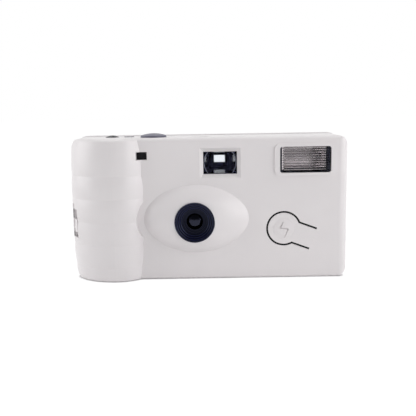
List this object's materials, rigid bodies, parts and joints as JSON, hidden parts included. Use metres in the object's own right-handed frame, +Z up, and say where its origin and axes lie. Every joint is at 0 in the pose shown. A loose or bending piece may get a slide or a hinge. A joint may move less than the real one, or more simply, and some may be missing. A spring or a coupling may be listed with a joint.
{
  "type": "single-use film camera with flash",
  "caption": "Moulded white single-use film camera with finger-grooved grip, oval lens boss, see-through finder, ribbed flash, charge key and film transport inside",
  "frame": {"origin": "centre of the bounding box in plan, on the base", "axes": "+X to the right of the front view, +Y from the lens side to the back, +Z up"},
  "size_m": [0.1112, 0.0354, 0.0586],
  "materials": {
    "white_shell": "semi-gloss moulded white",
    "black_plastic": "moulded black, satin",
    "smoke_button": "moulded bluish grey, satin",
    "clear_lens": "polished clear",
    "smoked_window": "polished, smoked",
    "diffuser": "ribbed clear",
    "bright_reflector": "vacuum-plated mirror",
    "spring_steel": "plain spring steel",
    "blackened_steel": "blackened sheet, matt",
    "film_base": "brown film base",
    "cartridge_sheet": "painted sheet",
    "counter_white": "moulded white",
    "board_laminate": "green laminate",
    "capacitor_sleeve": "shrunk sleeve",
    "winding_copper": "enamelled wire",
    "brass_contact": "plain brass",
    "battery_case": "plain sleeve"
  },
  "bodies": {
    "camera": {"front_cover": "white_shell", "back_cover": "white_shell", "chassis": "black_plastic", "mechanism_plate": "black_plastic", "lens_ring": "black_plastic", "taking_lens": "clear_lens", "shutter_cover": "black_plastic", "blade_spring": "spring_steel", "striker_spring": "spring_steel", "button_spring": "spring_steel", "winding_pawl": "spring_steel", "cartridge_can": "cartridge_sheet", "cartridge_caps": "black_plastic", "film_strip": "film_base", "counter_window": "smoked_window", "ready_lamp": "smoked_window", "viewfinder_frame": "black_plastic", "viewfinder_front_lens": "clear_lens", "viewfinder_eyepiece": "clear_lens", "flash_window": "diffuser", "flash_housing": "black_plastic", "flash_reflector": "bright_reflector", "flash_tube": "clear_lens", "circuit_board": "board_laminate", "main_capacitor": "capacitor_sleeve", "transformer": "winding_copper", "trigger_coil": "winding_copper", "board_components": "black_plastic", "charge_contact": "brass_contact", "battery": "battery_case", "battery_contacts": "spring_steel", "sync_contact": "brass_contact"},
    "door": {"cartridge_door": "white_shell"},
    "button": {"shutter_button": "smoke_button"},
    "charge_key": {"flash_button": "white_shell"},
    "winding": {"thumbwheel": "black_plastic", "cartridge_spool": "black_plastic"},
    "sprocket_wheel": {"sprocket": "black_plastic"},
    "counter": {"counter_disc": "counter_white"},
    "supply": {"supply_spool": "black_plastic", "film_roll": "film_base"},
    "striker": {"strike_lever": "black_plastic"},
    "blade": {"shutter_blade": "blackened_steel"},
    "meter": {"metering_lever": "black_plastic"}
  },
  "joints": [
    {"name": "door_open", "type": "hinge", "parent": "camera", "child": "door", "pos_m": [-0.0249, 0.00265, 0], "axis": [0, -1, 0], "range_deg": [0, 90]},
    {"name": "button_press", "type": "slide", "parent": "camera", "child": "button", "axis": [0, 0, -1], "range_m": [0, 0.0012], "stiffness_N_per_m": 400, "springref_m": -0.001, "deforming": ["button_spring"]},
    {"name": "charge_press", "type": "hinge", "parent": "camera", "child": "charge_key", "pos_m": [0.0418, -0.01125, 0.01569], "axis": [-0.3502, 0, -0.9367], "range_deg": [0, 3.5], "stiffness_Nm_per_rad": 0.3, "springref_deg": -0.57},
    {"name": "wheel_turn", "type": "hinge", "parent": "camera", "child": "winding", "pos_m": [-0.0391, 0.00265, 0.0492], "axis": [0, 0, 1], "continuous": true},
    {"name": "sprocket_turn", "type": "hinge", "parent": "camera", "child": "sprocket_wheel", "pos_m": [-0.0196, 0.0067, 0.0464], "axis": [0, 0, 1], "continuous": true},
    {"name": "counter_turn", "type": "hinge", "parent": "camera", "child": "counter", "pos_m": [-0.0331, 0.00315, 0.0538], "axis": [0, 0, 1], "continuous": true},
    {"name": "supply_turn", "type": "hinge", "parent": "camera", "child": "supply", "pos_m": [0.0441, 0.00395, 0.024], "axis": [0, 0, 1], "continuous": true},
    {"name": "striker_swing", "type": "hinge", "parent": "camera", "child": "striker", "pos_m": [-0.0136, 0.00065, 0.0484], "axis": [0, 0, 1], "range_deg": [0, 20], "stiffness_Nm_per_rad": 0.002, "springref_deg": -2.86},
    {"name": "blade_swing", "type": "hinge", "parent": "camera", "child": "blade", "pos_m": [-0.0116, -0.0079, 0.038], "axis": [0, 1, 0], "range_deg": [0, 19.1]},
    {"name": "meter_swing", "type": "hinge", "parent": "camera", "child": "meter", "pos_m": [-0.0201, 0.0011, 0.0484], "axis": [0, 0, 1], "range_deg": [0, 10.1]}
  ],
  "couplings": [
    {"joint": "sprocket_turn", "follows": "wheel_turn", "ratio": 0.92562},
    {"joint": "supply_turn", "follows": "wheel_turn", "ratio": 0.65116},
    {"joint": "counter_turn", "follows": "wheel_turn", "ratio": -0.030854},
    {"joint": "blade_swing", "follows": "striker_swing", "ratio": 0.95},
    {"joint": "meter_swing", "follows": "button_press", "rad_per_m": 145.4}
  ]
}
